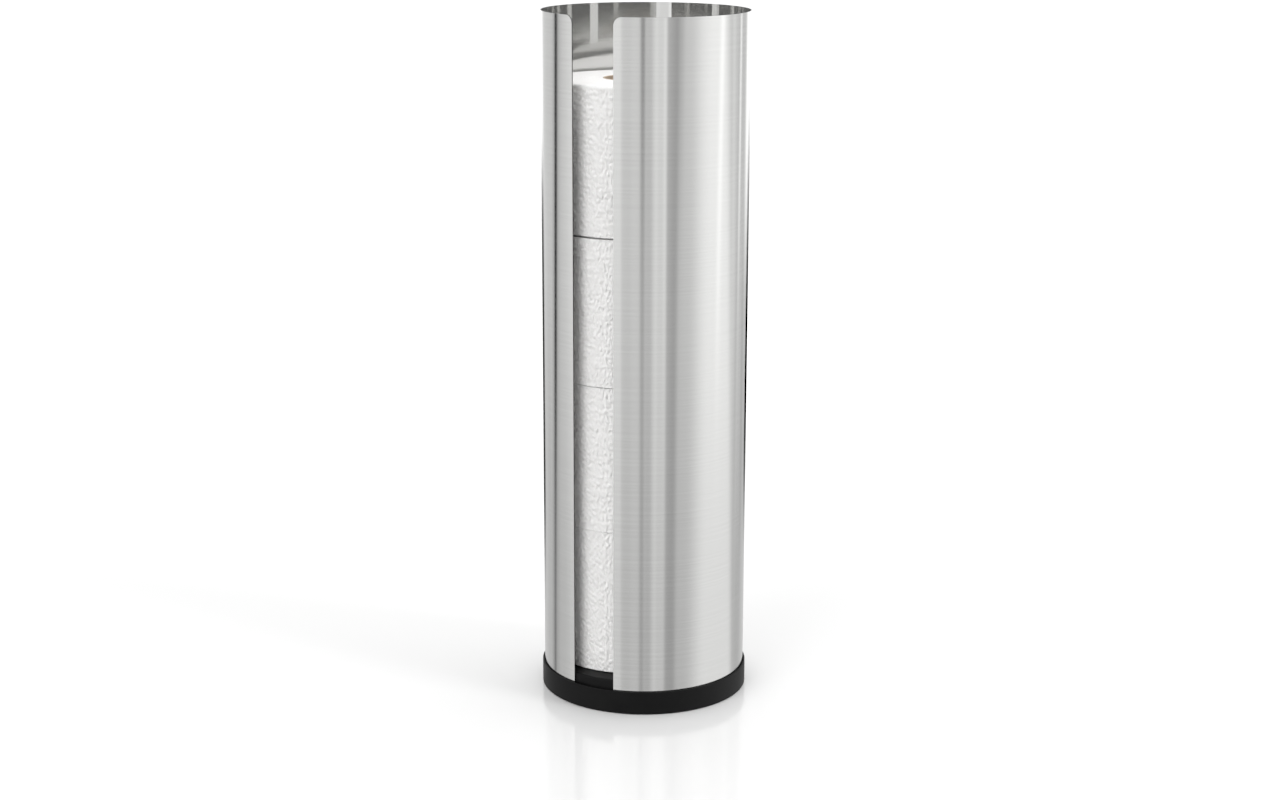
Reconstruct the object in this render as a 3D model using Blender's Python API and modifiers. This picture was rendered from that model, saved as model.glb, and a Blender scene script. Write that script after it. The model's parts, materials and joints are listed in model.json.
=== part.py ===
"""A free-standing toilet roll holder, made for a Blender 4.5 scene.

A blank of thin steel sheet is rolled almost into a tube, open at the top and down its front, and
stands in a groove round a moulded base. The base carries a stack of spare rolls on a raised deck
and rests on rubber pads. The holder takes its size from the rolls that it stores.

Lengths are in metres. +Z is up, the origin is on the floor under the middle of the base, and the
slot between the sheet's edges faces -Y.
"""

import math

import bmesh
import bpy
from mathutils import Matrix, Vector

# The rolls, which set the size of the holder
ROLL_COUNT = 4
ROLL_HEIGHT = 0.1002
ROLL_RADIUS = 0.0567
ROLL_RIM = 0.0008
PAPER_LAP = 0.0005
PAPER_END_SHARE = 0.30
CORE_RADIUS = 0.0215
CORE_WALL = 0.0012

# The room round and above the stack, and how far the stack has slid to one side of it
ROLL_ROOM = 0.0126
HEADROOM = 0.0451
LEAN_SHARE = 0.59
LEAN_ANGLE = math.radians(193.7)

# The rolled sheet
SHEET_THICKNESS = 0.0007
SLOT_WIDTH = 0.0310
SLOT_CORNER = 0.0055

# The moulded base: a skirt with a lip outside the sheet, a groove, and a plug that ends in the deck
FIT_GAP = 0.0003
LIP_WALL = 0.0012
LIP_ROUND = 0.0004
SKIRT_WALL = 0.0024
SKIRT_ROUND = 0.0005
GROOVE_FLOOR = 0.0062
GROOVE_DEPTH = 0.0100
GROOVE_WEB = 0.0024
PLUG_RISE = 0.0067
PLUG_WALL = 0.0022
PLUG_ROUND = 0.0012
DECK_THICKNESS = 0.0025

# The stiffening under the deck
RIB_COUNT = 8
RIB_THICKNESS = 0.0016
RIB_DEPTH = 0.0130
HUB_RADIUS = 0.0120
HUB_WALL = 0.0020
BOSS_WALL = 0.0020
BOSS_BITE = 0.0010

# The rubber pads, each in a pocket at the foot of a boss
PAD_COUNT = 4
PAD_TURN_SHARE = 0.5
PAD_RADIUS = 0.0065
PAD_PROUD = 0.0003
PAD_EDGE = 0.0003
POCKET_DEPTH = 0.0012

# How far a cutter or a joined piece runs past the face that it meets
OVERRUN = 0.0010

# How finely the round forms are faceted
SHEET_STRIPS = 120
BASE_STEPS = 96
PAPER_STEPS = 72
CORE_STEPS = 48
BOSS_STEPS = 24
CORNER_STEPS = 6
ROUND_STEPS = 2
MERGE_DISTANCE = 0.00001
SMOOTH_ANGLE = math.radians(35)

# Radii from the middle outwards
BORE_RADIUS = CORE_RADIUS + FIT_GAP
TUBE_INNER = ROLL_RADIUS + ROLL_ROOM
TUBE_RADIUS = TUBE_INNER + SHEET_THICKNESS
PLUG_RADIUS = TUBE_INNER - FIT_GAP
PLUG_INNER = PLUG_RADIUS - PLUG_WALL
GROOVE_RADIUS = TUBE_RADIUS + FIT_GAP
BASE_RADIUS = GROOVE_RADIUS + LIP_WALL
SKIRT_INNER = BASE_RADIUS - SKIRT_WALL
POCKET_RADIUS = PAD_RADIUS + FIT_GAP
BOSS_RADIUS = POCKET_RADIUS + BOSS_WALL
PAD_CIRCLE = PLUG_INNER - BOSS_RADIUS + BOSS_BITE

# Heights from the floor upwards
POCKET_CEILING = PAD_PROUD + POCKET_DEPTH
PAD_TOP = POCKET_CEILING - FIT_GAP
WEB_UNDERSIDE = GROOVE_FLOOR - GROOVE_WEB
SHEET_FOOT = GROOVE_FLOOR + FIT_GAP
LIP_TOP = GROOVE_FLOOR + GROOVE_DEPTH
DECK_TOP = LIP_TOP + PLUG_RISE
DECK_UNDERSIDE = DECK_TOP - DECK_THICKNESS
STACK_FOOT = DECK_TOP + FIT_GAP
ROLL_PITCH = ROLL_HEIGHT + FIT_GAP
STACK_TOP = STACK_FOOT + ROLL_COUNT * ROLL_PITCH - FIT_GAP
HOLDER_HEIGHT = STACK_TOP + HEADROOM

# Where the stack stands
STACK_X = ROLL_ROOM * LEAN_SHARE * math.cos(LEAN_ANGLE)
STACK_Y = ROLL_ROOM * LEAN_SHARE * math.sin(LEAN_ANGLE)


def clear_scene():
    """Remove every object, so that the script can be run again."""
    for item in list(bpy.data.objects):
        bpy.data.objects.remove(item, do_unlink=True)


def new_collection(name):
    """A collection of this name in the scene, emptied of an earlier run's link."""
    found = bpy.data.collections.get(name) or bpy.data.collections.new(name)
    if found.name not in bpy.context.scene.collection.children:
        bpy.context.scene.collection.children.link(found)
    return found


def new_material(name, colour, roughness, metallic=0.0):
    """A Principled material with a plain colour."""
    made = bpy.data.materials.get(name) or bpy.data.materials.new(name)
    made.use_nodes = True
    shader = made.node_tree.nodes["Principled BSDF"]
    shader.inputs["Base Color"].default_value = (*colour, 1.0)
    shader.inputs["Roughness"].default_value = roughness
    shader.inputs["Metallic"].default_value = metallic
    made.diffuse_color = (*colour, 1.0)
    return made


def new_part(name, bm, material, collection):
    """Turn a bmesh into a smooth-shaded object of the model."""
    mesh = bpy.data.meshes.new(name)
    bm.to_mesh(mesh)
    bm.free()
    mesh.materials.append(material)
    mesh.shade_smooth()
    mesh.set_sharp_from_angle(angle=SMOOTH_ANGLE)
    part = bpy.data.objects.new(name, mesh)
    collection.objects.link(part)
    return part


def new_cutter(name, bm, collection):
    """Turn a bmesh into a tool that shapes another piece and isn't itself part of the model."""
    bmesh.ops.recalc_face_normals(bm, faces=bm.faces)
    mesh = bpy.data.meshes.new(name)
    bm.to_mesh(mesh)
    bm.free()
    tool = bpy.data.objects.new(name, mesh)
    tool.hide_render = True
    tool.display_type = "WIRE"
    collection.objects.link(tool)
    return tool


def boolean(part, tool, operation):
    """Cut the part by the tool, or join the tool to it."""
    step = part.modifiers.new(tool.name, "BOOLEAN")
    step.operation = operation
    step.solver = "EXACT"
    step.object = tool


def filleted(corners, steps):
    """The points of an outline whose corners are given as (x, y, fillet radius)."""
    points = []
    for index, (x, y, radius) in enumerate(corners):
        corner = Vector((x, y))
        if not radius:
            points.append(corner)
            continue
        before = (Vector(corners[index - 1][:2]) - corner).normalized()
        after = (Vector(corners[(index + 1) % len(corners)][:2]) - corner).normalized()
        half_angle = before.angle(after) / 2
        centre = corner + (before + after).normalized() * (radius / math.sin(half_angle))
        spoke = corner + before * (radius / math.tan(half_angle)) - centre
        turn = math.copysign(math.pi - 2 * half_angle, before.cross(after) * -1)
        for step in range(steps + 1):
            points.append(centre + Matrix.Rotation(turn * step / steps, 2) @ spoke)
    return points


def turned(name, corners, steps, closed, material, collection):
    """A piece turned round its own Z axis from a profile of (radius, height, fillet) corners."""
    bm = bmesh.new()
    ring = [bm.verts.new((point.x, 0, point.y)) for point in filleted(corners, ROUND_STEPS)]
    for first, second in zip(ring, ring[1:]):
        bm.edges.new((first, second))
    if closed:
        bm.edges.new((ring[-1], ring[0]))
    part = new_part(name, bm, material, collection)
    screw = part.modifiers.new("Turn", "SCREW")
    screw.axis = "Z"
    screw.steps = steps
    screw.render_steps = steps
    screw.use_merge_vertices = True
    screw.merge_threshold = MERGE_DISTANCE
    return part


def cylinder(radius, bottom, top, steps):
    """A bmesh cylinder on the Z axis."""
    bm = bmesh.new()
    middle = Matrix.Translation((0, 0, (bottom + top) / 2))
    bmesh.ops.create_cone(
        bm, cap_ends=True, segments=steps, radius1=radius, radius2=radius, depth=top - bottom, matrix=middle
    )
    return bm


def round_the_base(count, share=0.0):
    """The angles of a pattern round the Z axis, turned by a share of its spacing."""
    return [math.tau * (index + share) / count for index in range(count)]


def make_sheet(material, collection):
    """The steel sheet: a flat blank with two rounded corners, creased into strips and rolled."""
    half_slot = math.asin(SLOT_WIDTH / 2 / TUBE_RADIUS)
    half_blank = TUBE_RADIUS * (math.pi - half_slot)
    corners = [
        (-half_blank, SHEET_FOOT, 0),
        (-half_blank, HOLDER_HEIGHT, SLOT_CORNER),
        (half_blank, HOLDER_HEIGHT, SLOT_CORNER),
        (half_blank, SHEET_FOOT, 0),
    ]
    outline = filleted(corners, CORNER_STEPS)
    bm = bmesh.new()
    bm.faces.new([bm.verts.new((point.x, 0, point.y)) for point in outline])
    even_strips = [half_blank * (2 * index / SHEET_STRIPS - 1) for index in range(1, SHEET_STRIPS)]
    clear_of_corners = [x for x in even_strips if abs(x) < half_blank - SLOT_CORNER]
    corner_creases = [point.x for point in outline if abs(point.x) < half_blank - MERGE_DISTANCE]
    for crease in clear_of_corners + corner_creases:
        everything = bm.verts[:] + bm.edges[:] + bm.faces[:]
        bmesh.ops.bisect_plane(
            bm, geom=everything, dist=MERGE_DISTANCE, plane_co=(crease, 0, 0), plane_no=(1, 0, 0)
        )
    for vert in bm.verts:
        turn = vert.co.x / TUBE_RADIUS
        vert.co.x = TUBE_RADIUS * math.sin(turn)
        vert.co.y = TUBE_RADIUS * math.cos(turn)
    sheet = new_part("tube_sheet", bm, material, collection)
    wall = sheet.modifiers.new("Sheet thickness", "SOLIDIFY")
    wall.thickness = SHEET_THICKNESS
    wall.offset = -1.0
    wall.use_even_offset = True
    return sheet


def make_base(material, collection, cutters):
    """The base: a turned shell, stiffened underneath by a hub, ribs and a boss over each pad."""
    profile = [
        (0, DECK_TOP, 0),
        (PLUG_RADIUS, DECK_TOP, PLUG_ROUND),
        (PLUG_RADIUS, GROOVE_FLOOR, 0),
        (GROOVE_RADIUS, GROOVE_FLOOR, 0),
        (GROOVE_RADIUS, LIP_TOP, LIP_ROUND),
        (BASE_RADIUS, LIP_TOP, LIP_ROUND),
        (BASE_RADIUS, PAD_PROUD, SKIRT_ROUND),
        (SKIRT_INNER, PAD_PROUD, 0),
        (SKIRT_INNER, WEB_UNDERSIDE, 0),
        (PLUG_INNER, WEB_UNDERSIDE, 0),
        (PLUG_INNER, DECK_UNDERSIDE, PLUG_ROUND),
        (0, DECK_UNDERSIDE, 0),
    ]
    base = turned("base_moulding", profile, BASE_STEPS, False, material, collection)

    rib_foot = DECK_UNDERSIDE - RIB_DEPTH
    rib_top = DECK_UNDERSIDE + OVERRUN
    rib_start = HUB_RADIUS - OVERRUN
    rib_length = PLUG_INNER + OVERRUN - rib_start
    hub = new_cutter("hub", cylinder(HUB_RADIUS, rib_foot, rib_top, BOSS_STEPS), cutters)
    boolean(base, hub, "UNION")
    for index, angle in enumerate(round_the_base(RIB_COUNT)):
        bm = bmesh.new()
        size = Matrix.Diagonal((rib_length, RIB_THICKNESS, rib_top - rib_foot, 1))
        middle = Matrix.Translation((rib_start + rib_length / 2, 0, (rib_foot + rib_top) / 2))
        bmesh.ops.create_cube(bm, size=1, matrix=Matrix.Rotation(angle, 4, "Z") @ middle @ size)
        boolean(base, new_cutter(f"rib_{index + 1}", bm, cutters), "UNION")

    for index, angle in enumerate(round_the_base(PAD_COUNT, PAD_TURN_SHARE)):
        middle = (PAD_CIRCLE * math.cos(angle), PAD_CIRCLE * math.sin(angle), 0)
        boss = new_cutter(f"boss_{index + 1}", cylinder(BOSS_RADIUS, PAD_PROUD, rib_top, BOSS_STEPS), cutters)
        boss.location = middle
        boolean(base, boss, "UNION")
        pocket_foot = PAD_PROUD - OVERRUN
        pocket = cylinder(POCKET_RADIUS, pocket_foot, POCKET_CEILING, BOSS_STEPS)
        pocket_tool = new_cutter(f"pocket_{index + 1}", pocket, cutters)
        pocket_tool.location = middle
        boolean(base, pocket_tool, "DIFFERENCE")

    socket = cylinder(HUB_RADIUS - HUB_WALL, rib_foot - OVERRUN, DECK_UNDERSIDE, BOSS_STEPS)
    boolean(base, new_cutter("hub_socket", socket, cutters), "DIFFERENCE")
    return base


def make_pads(material, collection):
    """The rubber pads, which stand a little proud of the skirt and carry the holder."""
    for index, angle in enumerate(round_the_base(PAD_COUNT, PAD_TURN_SHARE)):
        disc = cylinder(PAD_RADIUS, 0, PAD_TOP, BOSS_STEPS)
        pad = new_part(f"pad_{index + 1}", disc, material, collection)
        pad.location = (PAD_CIRCLE * math.cos(angle), PAD_CIRCLE * math.sin(angle), 0)
        edge = pad.modifiers.new("Edge", "BEVEL")
        edge.width = PAD_EDGE
        edge.segments = 1


def wound_paper(end_share):
    """A bmesh of the paper wound on one roll, its last sheet ending in a step at end_share of a turn."""
    bm = bmesh.new()
    bmesh.ops.create_circle(bm, radius=ROLL_RADIUS, segments=PAPER_STEPS + 1)
    bm.verts.ensure_lookup_table()
    for index, vert in enumerate(bm.verts):
        wound_share = index / PAPER_STEPS
        radius = ROLL_RADIUS - PAPER_LAP * wound_share
        angle = math.tau * (wound_share + end_share)
        vert.co = (radius * math.cos(angle), radius * math.sin(angle), 0)

    lower_rim = []
    for step in range(ROUND_STEPS + 1):
        angle = math.pi / 2 * step / ROUND_STEPS
        lower_rim.append((ROLL_RADIUS - ROLL_RIM * (1 - math.sin(angle)), ROLL_RIM * (1 - math.cos(angle))))
    upper_rim = [(radius, ROLL_HEIGHT - height) for radius, height in reversed(lower_rim)]
    sections = lower_rim + upper_rim

    last_radius, last_height = sections[0]
    end_scale = last_radius / ROLL_RADIUS
    bmesh.ops.scale(bm, vec=(end_scale, end_scale, 1), verts=bm.verts)
    loop = bm.edges[:]
    for radius, height in sections[1:]:
        raised = bmesh.ops.extrude_edge_only(bm, edges=loop)["geom"]
        loop = [item for item in raised if isinstance(item, bmesh.types.BMEdge)]
        moving = [item for item in raised if isinstance(item, bmesh.types.BMVert)]
        scale = radius / last_radius
        bmesh.ops.scale(bm, vec=(scale, scale, 1), verts=moving)
        bmesh.ops.translate(bm, vec=(0, 0, height - last_height), verts=moving)
        last_radius, last_height = radius, height
    bmesh.ops.holes_fill(bm, edges=bm.edges, sides=0)
    bmesh.ops.recalc_face_normals(bm, faces=bm.faces)
    return bm


def make_rolls(paper, cardboard, collection, cutters):
    """The stack of rolls, each on an empty that the roll above it hangs from as it is lifted."""
    carrier = None
    for index in range(ROLL_COUNT):
        seat = bpy.data.objects.new(f"seat_{index + 1}", None)
        collection.objects.link(seat)
        seat.parent = carrier
        seat.location = (0, 0, ROLL_PITCH) if carrier else (STACK_X, STACK_Y, STACK_FOOT)
        carrier = seat

        roll = new_part(f"paper_roll_{index + 1}", wound_paper(PAPER_END_SHARE * index), paper, collection)
        roll.parent = seat
        through = cylinder(BORE_RADIUS, -OVERRUN, ROLL_HEIGHT + OVERRUN, CORE_STEPS)
        bore = new_cutter(f"bore_{index + 1}", through, cutters)
        bore.parent = seat
        boolean(roll, bore, "DIFFERENCE")

        core_wall = [
            (CORE_RADIUS, ROLL_HEIGHT, 0),
            (CORE_RADIUS, 0, 0),
            (CORE_RADIUS - CORE_WALL, 0, 0),
            (CORE_RADIUS - CORE_WALL, ROLL_HEIGHT, 0),
        ]
        core = turned(f"roll_core_{index + 1}", core_wall, CORE_STEPS, True, cardboard, collection)
        core.parent = seat


def build():
    """Make the whole holder."""
    clear_scene()
    model = new_collection("Toilet roll holder")
    cutters = new_collection("Cutters")
    steel = new_material("Brushed steel", (0.60, 0.60, 0.58), 0.35, 1.0)
    plastic = new_material("Black plastic", (0.015, 0.015, 0.014), 0.45)
    rubber = new_material("Rubber", (0.03, 0.03, 0.03), 0.80)
    paper = new_material("Paper", (0.88, 0.87, 0.85), 0.90)
    cardboard = new_material("Cardboard", (0.42, 0.30, 0.20), 0.90)
    make_sheet(steel, model)
    make_base(plastic, model, cutters)
    make_pads(rubber, model)
    make_rolls(paper, cardboard, model, cutters)
    bpy.context.view_layer.update()


build()
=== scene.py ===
"""The looks of a free-standing toilet roll holder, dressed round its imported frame.

A sheet of brushed steel, rolled almost into a tube, stands in a moulded black base on rubber pads and
stores a stack of embossed toilet rolls. Each sub-assembly is a class that builds its meshes from the
sizes in its fields, and each finish is a frozen dataclass that builds its own material.

Lengths are in metres unless a name says otherwise. +Z is up, the origin is on the floor under the
middle of the base, and the slot between the sheet's edges faces -Y.
"""

from __future__ import annotations

import json
import logging
import math
from collections.abc import Sequence
from dataclasses import dataclass
from enum import Enum, IntEnum

import bmesh
import bpy
import numpy as np
from mathutils import Matrix, Vector

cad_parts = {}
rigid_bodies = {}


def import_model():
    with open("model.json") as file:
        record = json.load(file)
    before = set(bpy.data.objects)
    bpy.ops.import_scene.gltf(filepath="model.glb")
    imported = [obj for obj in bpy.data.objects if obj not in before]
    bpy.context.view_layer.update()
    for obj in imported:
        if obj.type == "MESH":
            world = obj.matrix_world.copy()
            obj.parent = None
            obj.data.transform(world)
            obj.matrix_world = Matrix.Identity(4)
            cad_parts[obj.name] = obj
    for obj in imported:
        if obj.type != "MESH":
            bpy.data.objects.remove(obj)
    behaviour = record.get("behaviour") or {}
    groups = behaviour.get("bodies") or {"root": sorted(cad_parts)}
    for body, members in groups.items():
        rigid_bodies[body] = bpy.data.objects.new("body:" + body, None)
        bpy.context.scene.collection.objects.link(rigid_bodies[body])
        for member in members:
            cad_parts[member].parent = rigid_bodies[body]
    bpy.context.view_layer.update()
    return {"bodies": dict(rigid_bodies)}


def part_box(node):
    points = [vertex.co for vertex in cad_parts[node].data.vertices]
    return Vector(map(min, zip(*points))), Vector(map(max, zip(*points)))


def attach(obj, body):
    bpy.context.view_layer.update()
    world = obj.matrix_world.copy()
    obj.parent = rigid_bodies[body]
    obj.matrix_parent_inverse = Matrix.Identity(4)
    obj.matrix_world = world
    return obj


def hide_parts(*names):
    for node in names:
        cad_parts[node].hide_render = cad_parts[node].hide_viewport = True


LOG = logging.getLogger("toilet_roll_holder")

WELD = 0.000001
SHARP_ANGLE = math.radians(35)
NORMAL_WEIGHT = 80
MIDDLE = 0.5
UNIT = (0.0, 1.0)
WHITE = (1.0, 1.0, 1.0, 1.0)
BEVEL_PROFILE = 0.5
SAME_DIGITS = 6
RIPPLE_WAVES, SHORTEST_RIPPLE, RIPPLE_SPREAD = 28, 0.7, 0.8
LINE_SPAN = (0.25, 0.75)
FLAT_DETAIL, FLAT_ROUGHNESS = 3.0, 0.6
MOTTLE_DETAIL, MOTTLE_ROUGHNESS = 4.0, 0.55
UPRIGHT_RISE = -10.0
LEFT_LEAN = 0.59
MIX_FACTOR, MIX_FIRST, MIX_SECOND = 0, 6, 7
MIX_RESULT = 2

Colour = tuple[float, float, float]
Socket = bpy.types.NodeSocket
Shape = bmesh.types.BMesh


class Turn(Enum):
    """Which way a strip winds up a tube, as the sign of its angle."""

    LEFT_HAND = -1
    RIGHT_HAND = 1


class Panel(Enum):
    """What a studio panel does to the light from its side, as the sign of its level."""

    SOFTBOX = 1
    FLAG = -1


SOFTBOX, FLAG = Panel.SOFTBOX, Panel.FLAG


class Draw(IntEnum):
    """Which random draw a relief takes: what its seed has on top of the roll's number."""

    SAG = 0
    CREPE = 10
    ENDS = 20
    MOTIF = 30
    STRENGTH = 40


class Graph:
    """A shader node tree that is written node by node."""

    def __init__(self, tree: bpy.types.NodeTree) -> None:
        """Empty the tree, which is a material's, a world's or a node group's."""
        self.tree = tree
        self.tree.nodes.clear()

    def add(self, kind: str, inputs: dict | None = None, **settings: object) -> bpy.types.Node:
        """Add a node, set it up and feed it.

        Args:
            kind: The node's type without its ShaderNode prefix.
            inputs: A value or a socket for each input, by name or by place.
            settings: The node's own properties.

        Returns:
            The node.
        """
        node = self.tree.nodes.new("ShaderNode" + kind)
        for name, value in settings.items():
            setattr(node, name, value)
        for key, value in (inputs or {}).items():
            self.feed(node.inputs[key], value)
        return node

    def feed(self, socket: Socket, value: object) -> None:
        """Link a socket to an input, or set the input's own value.

        Args:
            socket: The input.
            value: Another node's output, or a plain value.
        """
        if isinstance(value, bpy.types.NodeSocket):
            self.tree.links.new(value, socket)
        else:
            socket.default_value = value

    def calc(self, operation: str, *values: object, clamp: bool = False) -> Socket:
        """One step of arithmetic, with numbers or sockets, kept between 0 and 1 where it clamps."""
        return self.add("Math", dict(enumerate(values)), operation=operation, use_clamp=clamp).outputs[0]

    def fit(self, value: object, source: tuple[float, float], target: tuple[float, float]) -> Socket:
        """Map a number or socket from one range to another, smoothly and not past its ends."""
        inputs = {0: value, 1: source[0], 2: source[1], 3: target[0], 4: target[1]}
        return self.add("MapRange", inputs, interpolation_type="SMOOTHSTEP").outputs[0]

    def shade(self, mask: Socket, span: tuple[float, float], low: Colour, high: Colour) -> Socket:
        """Turn a mask into a colour.

        Args:
            mask: The mask's socket.
            span: Where on the mask the colour begins to change, and where it ends.
            low: The colour below that.
            high: The colour above.

        Returns:
            The colour's socket.
        """
        node = self.add("ValToRGB", {"Fac": mask})
        for element, place, colour in zip(node.color_ramp.elements, span, (low, high)):
            element.position = place
            element.color = (*colour, 1.0)
        return node.outputs["Color"]

    def blend(self, factor: Socket, first: object, second: object) -> Socket:
        """Mix two colours or their sockets: the second one shows where the factor is 1."""
        inputs = {MIX_FACTOR: factor, MIX_FIRST: first, MIX_SECOND: second}
        return self.add("Mix", inputs, data_type="RGBA").outputs[MIX_RESULT]

    def place(self) -> Socket:
        """The point's place in the piece's own frame, which is the holder's."""
        return self.add("TexCoord").outputs["Object"]

    def attribute(self, name: str) -> Socket:
        """A number that the piece's mesh holds at each point."""
        return self.add("Attribute", attribute_name=name).outputs["Fac"]

    def bump(self, height: Socket, strength: float, depth: float) -> Socket:
        """A normal that follows a fine relief from 0 to 1, by how much of it shows and its full depth."""
        inputs = {"Height": height, "Strength": strength, "Distance": depth}
        return self.add("Bump", inputs).outputs["Normal"]

    def mixed(self, first: Socket, second: Socket, share: float) -> Socket:
        """Mix two masks, by the share of the second one."""
        kept = self.calc("MULTIPLY", first, 1.0 - share)
        return self.calc("ADD", kept, self.calc("MULTIPLY", second, share))

    def flat_noise(self, across: Socket, along: Socket, span: tuple[float, float]) -> Socket:
        """Noise in two directions.

        Args:
            across: The place in the first direction, in waves.
            along: The place in the second.
            span: The part of the noise that is spread from 0 to 1.

        Returns:
            The mask's socket.
        """
        flat = self.add("CombineXYZ", {"X": across, "Y": along}).outputs[0]
        inputs = {"Vector": flat, "Scale": 1.0, "Detail": FLAT_DETAIL, "Roughness": FLAT_ROUGHNESS}
        noise = self.add("TexNoise", inputs, noise_dimensions="2D").outputs["Fac"]
        return self.fit(noise, span, UNIT)


Group = tuple[Graph, bpy.types.Node, bpy.types.Node]


def new_group(name: str, output: str, numbers: Sequence[str], vectors: Sequence[str] = ()) -> Group:
    """Start a shader node group that puts out one value.

    Args:
        name: The group's name.
        output: The output's name.
        numbers: The names of the inputs that are numbers.
        vectors: The names of the inputs that are vectors.

    Returns:
        The group's graph, its input node and its output node.
    """
    tree = bpy.data.node_groups.new(name, "ShaderNodeTree")
    for titles, kind in ((vectors, "NodeSocketVector"), (numbers, "NodeSocketFloat")):
        for title in titles:
            tree.interface.new_socket(name=title, in_out="INPUT", socket_type=kind)
    tree.interface.new_socket(name=output, in_out="OUTPUT", socket_type="NodeSocketFloat")
    graph = Graph(tree)
    return graph, tree.nodes.new("NodeGroupInput"), tree.nodes.new("NodeGroupOutput")


class Patterns:
    """The node groups that more than one finish uses, each built once."""

    def __init__(self) -> None:
        """Build the groups."""
        self.lines = self.build_turned_lines()
        self.mottle = self.build_mottle()
        self.panel = self.build_panel()

    @staticmethod
    def build_turned_lines() -> bpy.types.NodeTree:
        """Fine lines that run round the Z axis, such as brushing or the fibres of a wound tube.

        Returns:
            The group, whose Mask goes from 0 to 1.
        """
        graph, entry, leave = new_group("turned_lines", "Mask", ("Radius", "Length", "Pitch"), ("Position",))
        given = entry.outputs
        split = graph.add("SeparateXYZ", {0: given["Position"]})
        angle = graph.calc("ARCTAN2", split.outputs["X"], split.outputs["Y"])
        around = graph.calc("DIVIDE", graph.calc("MULTIPLY", angle, given["Radius"]), given["Length"])
        upward = graph.calc("DIVIDE", split.outputs["Z"], given["Pitch"])
        graph.feed(leave.inputs["Mask"], graph.flat_noise(around, upward, LINE_SPAN))
        return graph.tree

    @staticmethod
    def build_mottle() -> bpy.types.NodeTree:
        """Cloudy variation in three dimensions.

        Returns:
            The group, whose Mask goes from 0 to 1.
        """
        graph, entry, leave = new_group("mottle", "Mask", ("Size", "Contrast"), ("Position",))
        given = entry.outputs
        inputs = {
            "Vector": given["Position"],
            "Scale": graph.calc("DIVIDE", 1.0, given["Size"]),
            "Detail": MOTTLE_DETAIL,
            "Roughness": MOTTLE_ROUGHNESS,
        }
        noise = graph.add("TexNoise", inputs).outputs["Fac"]
        spread = graph.calc("MULTIPLY", graph.calc("SUBTRACT", noise, MIDDLE), given["Contrast"])
        graph.feed(leave.inputs["Mask"], graph.calc("ADD", spread, MIDDLE, clamp=True))
        return graph.tree

    @staticmethod
    def build_panel() -> bpy.types.NodeTree:
        """An upright studio panel, by the compass angles that it spans.

        Returns:
            The group, whose Light is the panel's level inside its span and 0 outside.
        """
        sides = ("Angle", "Begin", "End", "Begin feather", "End feather", "Begin lean", "End lean", "Level")
        ends = ("Rise", "Bottom", "Top", "Fade")
        graph, entry, leave = new_group("studio_panel", "Light", sides + ends)
        given = entry.outputs
        upward = graph.calc("SUBTRACT", given["Rise"], UPRIGHT_RISE)
        begin = graph.calc("ADD", given["Begin"], graph.calc("MULTIPLY", given["Begin lean"], upward))
        end = graph.calc("ADD", given["End"], graph.calc("MULTIPLY", given["End lean"], upward))
        inside = given["Level"]
        for low, high, feather in (
            (begin, given["Angle"], given["Begin feather"]),
            (given["Angle"], end, given["End feather"]),
            (given["Bottom"], given["Rise"], given["Fade"]),
            (given["Rise"], given["Top"], given["Fade"]),
        ):
            share = graph.calc("DIVIDE", graph.calc("SUBTRACT", high, low), feather)
            inside = graph.calc("MULTIPLY", inside, graph.fit(share, UNIT, UNIT))
        graph.feed(leave.inputs["Light"], inside)
        return graph.tree


class Painter(Graph):
    """The graph of a material, with the patterns that the finishes share."""

    def __init__(self, tree: bpy.types.NodeTree, patterns: Patterns) -> None:
        """Empty the material's tree, and keep the shared node groups."""
        super().__init__(tree)
        self.patterns = patterns

    def mottled(self, size: float, contrast: float, position: Socket | None = None) -> Socket:
        """Cloudy variation: about how wide one cloud is, and how strongly the clouds differ."""
        inputs = {"Position": position or self.place(), "Size": size, "Contrast": contrast}
        return self.add("Group", inputs, node_tree=self.patterns.mottle).outputs["Mask"]

    def lined(self, radius: float, length: float, pitch: float) -> Socket:
        """Fine lines round the piece: the radius they run at, one line's length, and their pitch."""
        inputs = {"Position": self.place(), "Radius": radius, "Length": length, "Pitch": pitch}
        return self.add("Group", inputs, node_tree=self.patterns.lines).outputs["Mask"]


@dataclass(frozen=True)
class Finish:
    """What every finish has: the record's slot, which also names its material."""

    slot: str

    def build(self, patterns: Patterns) -> bpy.types.Material:
        """Make the material.

        Args:
            patterns: The shared node groups.

        Returns:
            The material.
        """
        material = bpy.data.materials.new(self.slot)
        material.use_nodes = True
        paint = Painter(material.node_tree, patterns)
        shader = paint.add("BsdfPrincipled")
        paint.add("OutputMaterial", {"Surface": shader.outputs["BSDF"]})
        for socket, value in self.dress(paint).items():
            paint.feed(shader.inputs[socket], value)
        return material

    def dress(self, paint: Painter) -> dict[str, object]:
        """Draw the finish, which each one does in its own way."""
        raise NotImplementedError


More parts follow.
